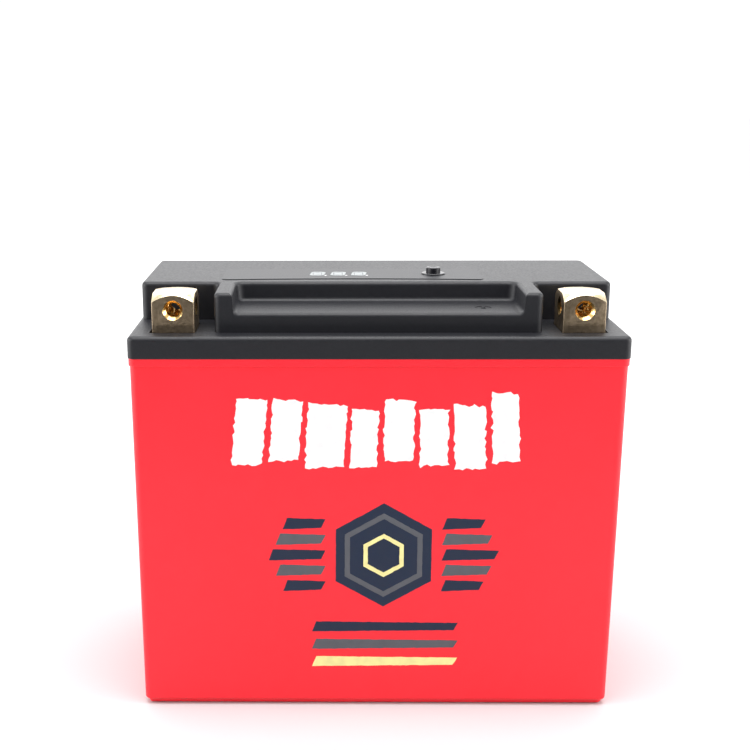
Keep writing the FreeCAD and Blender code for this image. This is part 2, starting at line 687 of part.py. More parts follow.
def make_balance_leads():
    """Thin leads from the socket across to the bars and straps, one for each step of the series."""
    leads = []
    for route in LEAD_ROUTES:
        points = [(x, y, LEAD_LEVEL) for x, y in route]
        points.append((*route[-1], POLE_TOP + STRAP))
        leads.append(bent_wire(points, LEAD_RADIUS, LEAD_BEND))
    return leads


def make_indicator_lead():
    """Flat lead from the management board up to the indicator board."""
    x0 = 12.0
    lead = [box(x0, x0 + 6, 24.0, 25.0, BOARD_TOP, 134.0),
            box(x0, x0 + 6, 12.0, 25.0, 133.0, 134.0),
            box(x0, x0 + 6, 12.0, 13.0, 133.0, SMALL_BOARD_BOTTOM)]
    strap = lead[0].fuse(lead[1:]).removeSplitter()
    bends = [e for e in strap.Edges if e.BoundBox.YLength < 0.01 and e.BoundBox.ZLength < 0.01
             and BOARD_TOP + 1 < e.BoundBox.ZMin < SMALL_BOARD_BOTTOM - 1]
    return try_fillet(strap, 0.8, bends)


# ---------------------------------------------------------------- indicator and button

def window_prism(x, grow, z0, z1):
    """Prism of a charge window's outline, made larger all round by grow."""
    shape = rounded_box(WINDOW_X / 2 + grow, WINDOW_Y / 2 + grow, WINDOW_RADIUS + grow, z0, z1)
    return shape.rotated(V(0, 0, 0), UP, WINDOW_TURN).translated(V(x, INDICATOR_Y, 0))


def make_light_pipe(x):
    """White light pipe: window head, shoulder under the lid and a stem down to its lamp."""
    head = window_prism(x, 0, LID_TOP - WALL - 1.2, LID_TOP + PANEL_THICKNESS + 0.1)
    shoulder = window_prism(x, 0.6, LID_TOP - WALL - 1.2, LID_TOP - WALL)
    stem = tapered_box((1.8, 2.4), (2.8, 4.0), 0.8, SMALL_BOARD_TOP + 1.8, LID_TOP - WALL - 1.2)
    stem = stem.rotated(V(0, 0, 0), UP, WINDOW_TURN).translated(V(x, INDICATOR_Y, 0))
    return head.fuse([shoulder, stem]).removeSplitter()


def make_overlay():
    """Thin panel sheet on the lid with a bowed front edge and holes for windows and button."""
    left = -57.0
    right = 40.0
    back = 16.0
    ends = -8.4
    middle = -6.5
    z = LID_TOP
    arc = Part.Arc(V(left, ends, z), V((left + right) / 2, middle, z), V(right, ends, z)).toShape()
    rest = Part.makePolygon([V(right, ends, z), V(right, back, z), V(left, back, z), V(left, ends, z)])
    sheet = Part.Face(Part.Wire([arc] + rest.Edges)).extrude(V(0, 0, PANEL_THICKNESS))
    sheet = round_uprights(sheet, 2.0)
    holes = [window_prism(x, WINDOW_GAP, z - 1, z + 1) for x in WINDOW_XS.values()]
    holes.append(cylinder(BEZEL_RADIUS + 0.1, BUTTON_X, INDICATOR_Y, z - 1, z + 1))
    return sheet.cut(holes)


def make_small_board():
    """Indicator board that hangs under the lid top."""
    board = box(*SMALL_BOARD_X, *SMALL_BOARD_Y, SMALL_BOARD_BOTTOM, SMALL_BOARD_TOP)
    board = round_uprights(board, 1.5)
    holes = [cylinder(1.3, x, y, SMALL_BOARD_BOTTOM - 1, SMALL_BOARD_TOP + 1) for x, y in POSTS]
    holes += [cylinder(0.5, x, y, SMALL_BOARD_BOTTOM - 1, SMALL_BOARD_TOP + 1) for x, y in pin_places()]
    return board.cut(holes)


def make_lamps():
    """Three small lamps under the light pipes."""
    lamps = []
    for x in WINDOW_XS.values():
        lamp = box(x - 1.6, x + 1.6, INDICATOR_Y - 1.4, INDICATOR_Y + 1.4, SMALL_BOARD_TOP,
                   SMALL_BOARD_TOP + 1.5)
        lamps.append(round_level_edges(lamp, 0.3, SMALL_BOARD_TOP + 1.5))
    return lamps


def make_small_board_screws():
    """Screws from below into the lid's posts."""
    return [pan_screw(x, y, SMALL_BOARD_BOTTOM, 2.5, 1.6, 1.05, 7.5, True) for x, y in POSTS]


def pin_places():
    """Where the switch pins pass through the indicator board."""
    return [(BUTTON_X + dx, INDICATOR_Y) for dx in (-2.5, 2.5)]


def make_bushing():
    """Threaded barrel of the switch with the round bezel that shows on the lid."""
    bezel = cylinder(BEZEL_RADIUS, BUTTON_X, INDICATOR_Y, LID_TOP, LID_TOP + 0.8)
    bezel = round_level_edges(bezel, 0.4, LID_TOP + 0.8)
    barrel = cylinder(BARREL_RADIUS, BUTTON_X, INDICATOR_Y, BARREL_BOTTOM, LID_TOP + 0.1)
    bore = cylinder(BUTTON_RADIUS + RUNNING_GAP, BUTTON_X, INDICATOR_Y, BARREL_BOTTOM - 1, LID_TOP + 2)
    return bezel.fuse(barrel).cut(bore).removeSplitter()


def make_switch_nut():
    """Flat nut that clamps the switch under the lid."""
    nut = hexagon(10.0, BUTTON_X, INDICATOR_Y, LID_TOP - WALL - 2.2, LID_TOP - WALL)
    return nut.cut(cylinder(BARREL_RADIUS + 0.02, BUTTON_X, INDICATOR_Y, LID_TOP - 10, LID_TOP))


def make_switch_housing():
    """Square cup below the barrel that holds the spring and the contacts."""
    half = 4.7
    cup = box(BUTTON_X - half, BUTTON_X + half, INDICATOR_Y - half, INDICATOR_Y + half,
              SMALL_BOARD_TOP, BARREL_BOTTOM)
    cup = round_uprights(cup, 0.8)
    cuts = [cylinder(3.7, BUTTON_X, INDICATOR_Y, SMALL_BOARD_TOP + 1, BARREL_BOTTOM + 1)]
    cuts += [cylinder(0.42, x, y, SMALL_BOARD_TOP - 1, SMALL_BOARD_TOP + 2) for x, y in pin_places()]
    return cup.cut(cuts)


def make_switch_pins():
    """Two contact pins through the housing floor and the indicator board."""
    return [cylinder(0.4, x, y, SMALL_BOARD_BOTTOM - 1.2, SMALL_BOARD_TOP + 0.9)
            for x, y in pin_places()]


def make_push_button():
    """Round cap with the collar that keeps it in the barrel and a stem inside the spring."""
    collar_top = BARREL_BOTTOM - 0.1
    cap = cylinder(BUTTON_RADIUS, BUTTON_X, INDICATOR_Y, collar_top - 0.5, BUTTON_TOP)
    cap = round_level_edges(cap, 0.5, BUTTON_TOP)
    collar = cylinder(3.3, BUTTON_X, INDICATOR_Y, collar_top - 1, collar_top)
    stem = cylinder(1.2, BUTTON_X, INDICATOR_Y, SMALL_BOARD_TOP + 1 + BUTTON_TRAVEL + 0.3, collar_top)
    return cap.fuse([collar, stem]).removeSplitter()


def make_button_spring():
    """Coil spring, of eight-sided wire, between the housing floor and the button's collar."""
    wire_radius = 0.24
    mean_radius = 2.2
    turns = 4.0
    low = SMALL_BOARD_TOP + 1 + 0.05
    high = BARREL_BOTTOM - 1.1 - 0.05
    height = high - low - 2 * wire_radius
    helix = Part.makeHelix(height / turns, height, mean_radius)
    angles = [2 * math.pi * k / 8 for k in range(9)]
    profile = Part.makePolygon([V(mean_radius + wire_radius * math.cos(a), 0, wire_radius * math.sin(a))
                                for a in angles])
    spring = Part.Wire(helix).makePipeShell([profile], True, True)
    return spring.translated(V(BUTTON_X, INDICATOR_Y, low + wire_radius))


# ---------------------------------------------------------------- fasteners on the power path

def make_foot_screws():
    """Screws from below that hold both terminal feet against the lid."""
    places = FOOT_SCREWS + [(-x, y) for x, y in FOOT_SCREWS]
    return [pan_screw(x, y, FOOT_BOTTOM, 2.9, 1.9, 1.2, 6.5, True) for x, y in places]


def make_strap_screws():
    """Screws from below that clamp the straps to the terminals."""
    return [pan_screw(x, TERMINAL_Y, FOOT_BOTTOM - STRAP, 4.2, 2.6, 2.05, 9.5, True)
            for x in (-TERMINAL_X, TERMINAL_X)]


def make_pole_screws():
    """Screws that clamp the bars and straps to the cell poles."""
    return [pan_screw(x, y, POLE_TOP + STRAP, 4.2, 2.6, 2.05, 5.0) for x, y, _ in poles()]


# ---------------------------------------------------------------- everything

def sub_parts():
    """Every sub-part by name."""
    right_terminal = make_right_terminal()
    right_foam = make_end_foam()
    parts = {
        "case": make_case(),
        "lid": make_lid(),
        "lid_seal": make_lid_seal(),
        "terminal_positive": right_terminal,
        "terminal_negative": mirrored(right_terminal),
        "terminal_foot_screws": make_foot_screws(),
        "terminal_strap_screws": make_strap_screws(),
        "positive_strap": make_positive_strap(),
        "negative_strap": make_negative_strap(),
        "cell_minus_strap": make_cell_minus_strap(),
        "series_bars": make_series_bars(),
        "pole_screws": make_pole_screws(),
        "cell_poles_plus": make_poles("plus"),
        "cell_poles_minus": make_poles("minus"),
        "cell_vent_discs": make_vent_discs(),
        "cell_tray": make_cell_tray(),
        "end_foam_right": right_foam,
        "end_foam_left": mirrored(right_foam),
        "front_foam": make_side_foam(-1),
        "back_foam": make_side_foam(1),
        "bottom_pad": make_bottom_pad(),
        "bms_board": make_bms_board(),
        "bms_standoffs": make_standoffs(),
        "bms_screws": make_board_screws(),
        "bms_lug_screws": make_lug_screws(),
        "bms_lug_nuts": make_lug_nuts(),
        "bms_transistors": make_transistors(),
        "bms_heat_spreader": make_heat_spreader(),
        "bms_capacitors": make_capacitors(),
        "bms_controller": make_controller_chip(),
        "balance_socket": make_balance_socket(),
        "balance_leads": make_balance_leads(),
        "indicator_lead": make_indicator_lead(),
        "indicator_overlay": make_overlay(),
        "indicator_board": make_small_board(),
        "indicator_lamps": make_lamps(),
        "indicator_board_screws": make_small_board_screws(),
        "switch_bushing": make_bushing(),
        "switch_nut": make_switch_nut(),
        "switch_housing": make_switch_housing(),
        "switch_pins": make_switch_pins(),
        "push_button": make_push_button(),
        "button_spring": make_button_spring(),
    }
    for index, x in enumerate(CELL_XS):
        parts["cell_" + str(index + 1)] = make_cell(x)
    for side, x in WINDOW_XS.items():
        parts["light_pipe_" + side] = make_light_pipe(x)
    parts.update(make_dividers())
    return parts


os.makedirs("parts", exist_ok=True)
for part_name, part_shape in sub_parts().items():
    save(part_name, part_shape)
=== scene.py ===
import json
import math

import bmesh
import bpy
from mathutils import Matrix, Vector, noise


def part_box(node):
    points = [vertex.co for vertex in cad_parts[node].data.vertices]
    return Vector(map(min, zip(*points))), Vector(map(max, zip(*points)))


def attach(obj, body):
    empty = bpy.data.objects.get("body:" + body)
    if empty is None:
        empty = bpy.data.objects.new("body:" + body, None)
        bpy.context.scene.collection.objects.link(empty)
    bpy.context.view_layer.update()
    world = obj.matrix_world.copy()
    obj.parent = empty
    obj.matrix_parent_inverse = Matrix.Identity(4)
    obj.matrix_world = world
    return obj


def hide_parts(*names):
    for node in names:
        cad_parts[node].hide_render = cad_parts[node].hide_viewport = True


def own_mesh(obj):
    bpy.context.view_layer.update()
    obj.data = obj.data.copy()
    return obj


# Looks of a lithium motorcycle battery: a red case, a black lid, two brass terminals, charge
# windows and a push button. Metres, in the frame's own axes: X along the length, Y from the
# terminal side (front, negative) to the back, Z up.

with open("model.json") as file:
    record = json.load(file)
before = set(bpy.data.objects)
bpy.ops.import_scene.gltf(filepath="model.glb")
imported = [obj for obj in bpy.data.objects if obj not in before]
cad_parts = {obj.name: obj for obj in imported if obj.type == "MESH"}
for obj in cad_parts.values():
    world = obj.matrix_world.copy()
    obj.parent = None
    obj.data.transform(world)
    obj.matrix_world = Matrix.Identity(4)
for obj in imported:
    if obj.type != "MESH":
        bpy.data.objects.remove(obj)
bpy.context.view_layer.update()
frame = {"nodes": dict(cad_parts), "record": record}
NODES = frame["nodes"]
MM = 0.001
noise.seed_set(7)


# ---------------------------------------------------------------- sizes

THREADS = {m["name"]: Vector(m["pos_m"]) for m in frame["record"]["mounts"] if "thread" in m["name"]}

# terminals
POST_LOW, POST_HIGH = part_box("terminal_positive")
POST_X = 71.9 * MM
POST_Y = -28.0 * MM
POST_HALF_X = 7.4 * MM
POST_HALF_Y = 8.6 * MM
POST_CORNER = 0.25 * MM
POST_EDGE = 0.12 * MM
POST_REACH = 14.0 * MM
TOP_FLAT = 8.5 * MM
TOP_SLOPE = math.tan(math.radians(42.0))
FOOT_TOP = 135.0 * MM
FOOT_SETBACK = 1.9 * MM
FOOT_CORNER = 1.0 * MM
FOOT_HOLES = [(-11.1, 0.0), (0.0, 13.0)]
FOOT_HOLE_RADIUS = 1.7 * MM
STRAP_HOLE_RADIUS = 2.1 * MM
STRAP_HOLE_DEPTH = 9 * MM
DIMPLE_RADIUS = 0.85 * MM
DIMPLE_DEPTH = 0.6 * MM
CROWN_DEPTH = 1.2 * MM

# threaded holes
THREAD_Z = THREADS["positive_front_thread"].z
THREAD_MINOR = 2.5 * MM
THREAD_MAJOR = 2.95 * MM
THREAD_PITCH = 1.0 * MM
THREAD_FLANK = 0.42
SINK_RADIUS = 3.5 * MM

# the front of the case leans back towards the base
FRONT_TOP_Z = 130.3 * MM
FRONT_TOP_Y = -42.95 * MM
FRONT_LEAN = 0.95 / 128.1

# print on the front: thickness in metres, its drawing in millimetres
INK_LIFT = 0.01 * MM
LAYER_STEP = 0.03 * MM
INK_THICKNESS = 0.02 * MM
RAGGED_STEP = 1.2
STROKE_HEIGHTS = [25, 23, 24, 22, 23, 21, 24, 26]
STROKE_WIDTHS = [11, 10.5, 13.5, 9.5, 10.5, 10, 11, 9.5]
STROKES_LEFT = -52.0
STROKES_BASE = 94.0
STROKE_GAP = 2.4
STROKE_RAGGED = 0.9
BADGE_X = 2.5
BADGE_Z = 60.0
BADGE_RAGGED = 0.12
BAR_TOP = 12.2
BAR_PITCH = 6.0
BAR_HEIGHT = 4.4
BAR_LONGEST = 19.0
BAR_SHORTENING = 2.6
BAR_LEAN = 1.6
STRIPE_TOP = 30.0
STRIPE_PITCH = 7.0
STRIPE_LENGTH = 52.0
STRIPE_HEIGHT = 4.0
PRINT_RAGGED = 0.15

# charge windows, push button and its spring
PANEL_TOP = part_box("indicator_overlay")[1].z
DOT_X = 2.95 * MM
DOT_Y = -3.4 * MM
DOT_RADIUS = 0.5 * MM
BUTTON_RADIUS = 2.7 * MM
BUTTON_RIM = 0.5 * MM
BUTTON_DISH = 0.34 * MM
DISH_RADIUS = 2.1 * MM
COLLAR_RADIUS = 3.3 * MM
COLLAR_HEIGHT = 1.0 * MM
COLLAR_GAP = 0.1 * MM
STEM_RADIUS = 1.2 * MM
SPRING_WIRE = 0.24 * MM
SPRING_TURNS = 4
SPRING_SIDES = 12
SPRING_STEPS_PER_TURN = 36

# camera, its turn in degrees: to the left, downwards and about its own axis
CAMERA_PLACE = (-0.018228, -0.453619, 0.229442)
CAMERA_TURN = (-0.519, 13.961, -0.12)
CAMERA_LENS = 58.38
CAMERA_SHIFT = 0.0792


# ---------------------------------------------------------------- materials

class Shader:
    """Small wrapper that builds one procedural material around a Principled shader."""

    def __init__(self, name, color, roughness, metallic=0.0):
        self.name = name
        self.material = bpy.data.materials.new(name)
        self.material.use_nodes = True
        self.tree = self.material.node_tree
        self.bsdf = self.tree.nodes["Principled BSDF"]
        self.place = self.tree.nodes.new("ShaderNodeTexCoord").outputs["Object"]
        self.color = color
        self.roughness = roughness
        self.height = None
        self.put("Base Color", (*color, 1.0))
        self.put("Roughness", roughness)
        self.put("Metallic", metallic)

    def put(self, socket, value):
        """Sets a constant on the shader's own socket."""
        self.bsdf.inputs[socket].default_value = value

    def node(self, kind, **settings):
        """New node; each setting is a property of it or else one of its inputs."""
        made = self.tree.nodes.new(kind)
        for key, value in settings.items():
            if hasattr(made, key):
                setattr(made, key, value)
            else:
                made.inputs[key].default_value = value
        return made

    def link(self, source, target):
        """Joins an output to an input."""
        self.tree.links.new(source, target)

    def squeezed(self, scale):
        """Object coordinates multiplied by scale, a number for each axis."""
        mapping = self.node("ShaderNodeMapping")
        mapping.inputs["Scale"].default_value = scale
        self.link(self.place, mapping.inputs["Vector"])
        return mapping.outputs["Vector"]

    def noise(self, scale, detail, stretch=(1, 1, 1)):
        """Noise of that many cells per metre."""
        made = self.node("ShaderNodeTexNoise", Scale=1.0, Detail=detail)
        self.link(self.squeezed([scale * s for s in stretch]), made.inputs["Vector"])
        return made.outputs["Fac"]

    def ranged(self, value, low, high, start=0.35, end=0.65):
        """Value between start and end, mapped to between low and high."""
        made = self.node("ShaderNodeMapRange")
        made.inputs["From Min"].default_value = start
        made.inputs["From Max"].default_value = end
        made.inputs["To Min"].default_value = low
        made.inputs["To Max"].default_value = high
        self.link(value, made.inputs["Value"])
        return made.outputs["Result"]

    def ramp(self, value, stops):
        """Colour ramp between two stops, each a place from 0 to 1 and a colour."""
        made = self.node("ShaderNodeValToRGB")
        for element, (position, color) in zip(made.color_ramp.elements, stops):
            element.position = position
            element.color = (*color, 1.0)
        self.link(value, made.inputs["Fac"])
        self.link(made.outputs["Color"], self.bsdf.inputs["Base Color"])

    def mottle(self, other, scale, detail=3.0, stretch=(1, 1, 1)):
        """Blends the base colour into another one by noise."""
        self.ramp(self.noise(scale, detail, stretch), [(0.35, self.color), (0.65, other)])

    def uneven(self, spread, scale, detail=3.0, stretch=(1, 1, 1)):
        """Lets the roughness wander by the spread either way."""
        value = self.noise(scale, detail, stretch)
        wander = self.ranged(value, self.roughness - spread, self.roughness + spread)
        self.link(wander, self.bsdf.inputs["Roughness"])

    def rough(self, value, depth):
        """Adds a height, in metres, to the bump."""
        bump = self.node("ShaderNodeBump", Strength=1.0, Distance=depth)
        self.link(value, bump.inputs["Height"])
        if self.height is not None:
            self.link(self.height, bump.inputs["Normal"])
        self.height = bump.outputs["Normal"]
        self.link(self.height, self.bsdf.inputs["Normal"])

    def grain(self, scale, depth, detail=2.0, stretch=(1, 1, 1)):
        """Adds noise to the bump."""
        self.rough(self.noise(scale, detail, stretch), depth)

    def rings(self, pitch, depth):
        """Turning marks round the piece's own upright axis."""
        wave = self.node("ShaderNodeTexWave", wave_type="RINGS", rings_direction="Z", Scale=1.0,
                         Distortion=0.4, Detail=1.0)
        self.link(self.squeezed([math.pi / (10 * pitch)] * 3), wave.inputs["Vector"])
        self.rough(wave.outputs["Fac"], depth)


def plastic(name, color, roughness, other=None, scale=60.0, grain=(2500.0, 0.012 * MM)):
    """Moulded plastic, rubber or foam, its colour and gloss a little uneven."""
    made = Shader(name, color, roughness)
    made.mottle(other or [c * 1.15 + 0.002 for c in color], scale)
    made.uneven(0.04, scale * 6)
    made.grain(*grain)
    return made


def metal(name, color, roughness, other=None):
    """Rolled or turned metal with a fine grain."""
    made = Shader(name, color, roughness, 1.0)
    made.mottle(other or [c * 0.85 for c in color], 120.0, 4.0)
    made.uneven(0.08, 480.0)
    made.grain(1800.0, 0.006 * MM)
    return made


def case_plastic():
    """Glossy red plastic of the case."""
    made = Shader("case_red", (0.93, 0.0085, 0.023), 0.42)
    made.mottle((0.90, 0.0078, 0.021), 35.0)
    made.uneven(0.03, 220.0)
    made.grain(900.0, 0.005 * MM, 3.0)
    return made


def lid_plastic():
    """Fine-grained black plastic of the lid."""
    made = Shader("lid_black", (0.0062, 0.0065, 0.0095), 0.48)
    made.mottle((0.0086, 0.0090, 0.0125), 900.0, 4.0)
    made.uneven(0.05, 1500.0)
    made.grain(3000.0, 0.010 * MM, 3.0)
    return made


def terminal_brass():
    """Plain brass, for a terminal without its separate finishes."""
    made = Shader("terminal_brass", (0.80, 0.60, 0.30), 0.30, 1.0)
    made.mottle((0.62, 0.45, 0.22), 420.0, 5.0)
    made.uneven(0.07, 900.0, 3.0)
    made.grain(900.0, 0.012 * MM, 3.0, (0.12, 1, 1))
    return made


def window_plastic():
    """Milky plastic of the light pipes."""
    made = plastic("window_white", (0.34, 0.36, 0.36), 0.50, (0.26, 0.28, 0.29), 700.0,
                   (600.0, 0.01 * MM))
    made.put("Transmission Weight", 0.08)
    return made


def make_materials():
    """One procedural material for each of the record's slots."""
    made = [
        case_plastic(),
        lid_plastic(),
        plastic("seal_rubber", (0.02, 0.02, 0.02), 0.7),
        metal("screw_steel", (0.60, 0.61, 0.62), 0.32),
        metal("strap_copper", (0.78, 0.36, 0.22), 0.34, (0.60, 0.25, 0.15)),
        metal("cell_aluminium", (0.76, 0.77, 0.78), 0.38),
        plastic("cell_sleeve_blue", (0.03, 0.10, 0.36), 0.35),
        plastic("tray_white", (0.70, 0.70, 0.66), 0.45, (0.64, 0.64, 0.60)),
        plastic("divider_grey", (0.22, 0.22, 0.21), 0.6),
        plastic("foam_black", (0.022, 0.022, 0.023), 0.9, (0.04, 0.04, 0.04), 900.0,
                (900.0, 0.25 * MM)),
        plastic("board_green", (0.012, 0.12, 0.04), 0.3, (0.02, 0.17, 0.06), 260.0),
        plastic("chip_black", (0.012, 0.012, 0.013), 0.5),
        plastic("lead_red", (0.45, 0.015, 0.015), 0.45),
        plastic("lead_grey", (0.20, 0.20, 0.22), 0.5),
        plastic("overlay_black", (0.0078, 0.0082, 0.0115), 0.47, None, 600.0,
                (3000.0, 0.008 * MM)),
        window_plastic(),
        plastic("switch_black", (0.008, 0.008, 0.011), 0.24, None, 200.0, (500.0, 0.003 * MM)),
        terminal_brass(),
    ]
    return {shader.name: shader.material for shader in made}


def brass_finishes_with_painted_light():
    """Sawn, turned and threaded brass, each with its own grain; the sawn brass is darker as painted
    shade on the sides, and the turned brass paler as a painted highlight on the top.
    """
    # darker brown than brass: painted shade on the terminal's sides
    sawn = Shader("brass_sawn_painted_shade", (0.54, 0.42, 0.285), 0.36, 1.0)
    sawn.mottle((0.42, 0.32, 0.21), 700.0, 4.0)
    sawn.uneven(0.08, 1500.0, 3.0)
    sawn.grain(1100.0, 0.002 * MM, 3.0, (0.15, 0.15, 2.0))
    sawn.grain(3000.0, 0.0015 * MM, 2.0)
    # paler cream than brass: painted highlight on the terminal's top faces
    turned = Shader("brass_turned_painted_highlight", (0.86, 0.74, 0.52), 0.26, 1.0)
    turned.mottle((0.80, 0.66, 0.42), 500.0, 4.0)
    turned.rings(0.16 * MM, 0.003 * MM)
    bore = Shader("brass_bore", (0.92, 0.66, 0.28), 0.16, 1.0)
    bore.mottle((0.80, 0.50, 0.18), 900.0, 3.0)
    bore.grain(1500.0, 0.01 * MM)
    return [sawn.material, turned.material, bore.material]


def ink(name, color):
    """Printed ink, its colour a little uneven."""
    made = Shader(name, color, 0.38)
    made.put("Specular IOR Level", 0.25)
    made.mottle([c * 0.88 + 0.004 for c in color], 260.0, 4.0)
    made.uneven(0.05, 500.0)
    made.grain(900.0, 0.004 * MM)
    return made.material


# ---------------------------------------------------------------- mesh helpers

def mesh_object(name, bm, materials, closed=True):
    """Turns a bmesh into a shown object; closed ones get their faces turned outwards."""
    if closed:
        bmesh.ops.recalc_face_normals(bm, faces=bm.faces)
    mesh = bpy.data.meshes.new(name)
    bm.to_mesh(mesh)
    bm.free()
    for material in materials:
        mesh.materials.append(material)
    made = bpy.data.objects.new(name, mesh)
    bpy.context.scene.collection.objects.link(made)
    return made


def block(low, high, bevel):
    """Bmesh box with its upright edges rounded."""
    bm = bmesh.new()
    bmesh.ops.create_cube(bm, size=1.0)
    size = Vector(high) - Vector(low)
    bmesh.ops.scale(bm, vec=size, verts=bm.verts)
    bmesh.ops.translate(bm, vec=(Vector(low) + Vector(high)) / 2, verts=bm.verts)
    edges = [e for e in bm.edges if abs(e.verts[0].co.z - e.verts[1].co.z) > size.z / 2]
    bmesh.ops.bevel(bm, geom=edges, offset=bevel, segments=3, profile=0.5, affect="EDGES")
    return bm


def bridge(bm, sections):
    """Joins each closed ring of points to the next by a band of faces."""
    for section, following in zip(sections, sections[1:]):
        for k in range(len(section)):
            bm.faces.new((section[k - 1], section[k], following[k], following[k - 1]))


def cap_ends(bm, sections):
    """Closes the first and the last ring."""
    bm.faces.new(sections[0][::-1])
    bm.faces.new(sections[-1])


def lathe(profile, steps=96):
    """Solid turned round Z from (radius, height) points, first and last on the axis."""
    bm = bmesh.new()
    rings = []
    for radius, z in profile[1:-1]:
        angles = [2 * math.pi * k / steps for k in range(steps)]
        rings.append([bm.verts.new((radius * math.cos(a), radius * math.sin(a), z)) for a in angles])
    bridge(bm, rings)
    for ring, (_, z) in ((rings[0], profile[0]), (rings[-1], profile[-1])):
        tip = bm.verts.new((0, 0, z))
        for k in range(steps):
            bm.faces.new((ring[k - 1], ring[k], tip))
    return bm


def bar(radius, low, high, steps=32):
    """Upright round bar."""
    return lathe([(0, low), (radius, low), (radius, high), (0, high)], steps)


def thread_radius(z, turn, flare):
    """Radius of the thread's wall at a height and a share of a turn, wider beyond the flare."""
    phase = (z / THREAD_PITCH - turn) % 1.0
    groove = max(0.0, 1.0 - abs(phase - 0.5) / THREAD_FLANK)
    radius = THREAD_MINOR + (THREAD_MAJOR - THREAD_MINOR) * groove
    return max(radius, THREAD_MINOR + abs(z) - flare)


def thread_cutter(half, steps=48, rows_per_pitch=8):
    """Threaded bar along Z with a helical groove, flared at both ends as a countersink."""
    end = half + 0.5 * MM
    flare = half - (SINK_RADIUS - THREAD_MINOR)
    rows = int(2 * end / THREAD_PITCH * rows_per_pitch)
    sections = []
    bm = bmesh.new()
    for i in range(rows + 1):
        z = -end + 2 * end * i / rows
        ring = []
        for k in range(steps):
            turn = k / steps
            radius = thread_radius(z, turn, flare)
            angle = 2 * math.pi * turn
            ring.append(bm.verts.new((radius * math.cos(angle), radius * math.sin(angle), z)))
        sections.append(ring)
    bridge(bm, sections)
    cap_ends(bm, sections)
    return bm


def apply_modifiers(target):
    """Makes the modifiers' result the object's own mesh."""
    graph = bpy.context.evaluated_depsgraph_get()
    mesh = bpy.data.meshes.new_from_object(target.evaluated_get(graph))
    target.modifiers.clear()
    target.data = mesh


def combine(target, tool_bm, operation, matrix=None):
    """Applies a boolean of the tool to the target and drops the tool."""
    if matrix is not None:
        bmesh.ops.transform(tool_bm, matrix=matrix, verts=tool_bm.verts)
    tool = mesh_object("tool", tool_bm, [])
    modifier = target.modifiers.new("cut", "BOOLEAN")
    modifier.operation = operation
    modifier.solver = "EXACT"
    modifier.object = tool
    apply_modifiers(target)
    bpy.data.objects.remove(tool)


def soften_edges(target, width):
    """Narrow bevel on every edge sharper than 30 degrees."""
    softened = target.modifiers.new("edge", "BEVEL")
    softened.width = width
    softened.segments = 2
    softened.limit_method = "ANGLE"
    softened.angle_limit = math.radians(30)
    apply_modifiers(target)


def smooth(target, sharp_degrees):
    """Shades smooth all but the edges sharper than the angle."""
    for polygon in target.data.polygons:
        polygon.use_smooth = True
    target.data.set_sharp_from_angle(angle=math.radians(sharp_degrees))


def join(name, parts, material):
    """One piece of the battery's body from several bmeshes."""
    whole = bmesh.new()
    for part in parts:
        mesh = bpy.data.meshes.new("part")
        part.to_mesh(mesh)
        part.free()
        whole.from_mesh(mesh)
        bpy.data.meshes.remove(mesh)
    made = mesh_object(name, whole, [material])
    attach(made, "battery")


# ---------------------------------------------------------------- terminals

def make_terminal(name, side, materials):
    """Brass post with turned top, threaded cross bores, countersinks and foot."""
    bottom = POST_LOW.z
    top = POST_HIGH.z
    post_bm = block((-POST_HALF_X, -POST_HALF_Y, bottom), (POST_HALF_X, POST_HALF_Y, top), POST_CORNER)
    post = mesh_object(name, post_bm, [])
    shoulder = top - (POST_REACH - TOP_FLAT) * TOP_SLOPE
    turned = [(0, bottom - MM), (POST_REACH, bottom - MM), (POST_REACH, shoulder), (TOP_FLAT, top),
              (0, top)]
    combine(post, lathe(turned), "INTERSECT")
    soften_edges(post, POST_EDGE)
    combine(post, foot_block(side), "UNION")
    level = Matrix.Translation((0, 0, THREAD_Z))
    for half, axis in ((POST_HALF_Y, "X"), (POST_HALF_X, "Y")):
        combine(post, thread_cutter(half), "DIFFERENCE", level @ Matrix.Rotation(math.pi / 2, 4, axis))
    dimple = [(0, top - DIMPLE_DEPTH), (0.05 * MM, top - DIMPLE_DEPTH), (DIMPLE_RADIUS, top + 0.1 * MM),
              (0, top + 0.1 * MM)]
    combine(post, lathe(dimple, 24), "DIFFERENCE")
    combine(post, bar(STRAP_HOLE_RADIUS, bottom - MM, bottom + STRAP_HOLE_DEPTH), "DIFFERENCE")
    for x, y in FOOT_HOLES:
        place = Matrix.Translation((x * side * MM, y * MM, 0))
        combine(post, bar(FOOT_HOLE_RADIUS, bottom - MM, FOOT_TOP + MM), "DIFFERENCE", place)
    for material in materials:
        post.data.materials.append(material)
    finish_and_paint_light_on_terminal_faces(post, top)
    post.location = (POST_X * side, POST_Y, 0)
    return post


def foot_block(side):
    """Wide foot below the lid, about the post's own axis."""
    x0 = (POST_LOW.x - POST_X) * side
    x1 = (POST_HIGH.x - POST_X) * side
    return block((min(x0, x1), POST_LOW.y + FOOT_SETBACK - POST_Y, POST_LOW.z),
                 (max(x0, x1), POST_HIGH.y - POST_Y, FOOT_TOP), FOOT_CORNER)


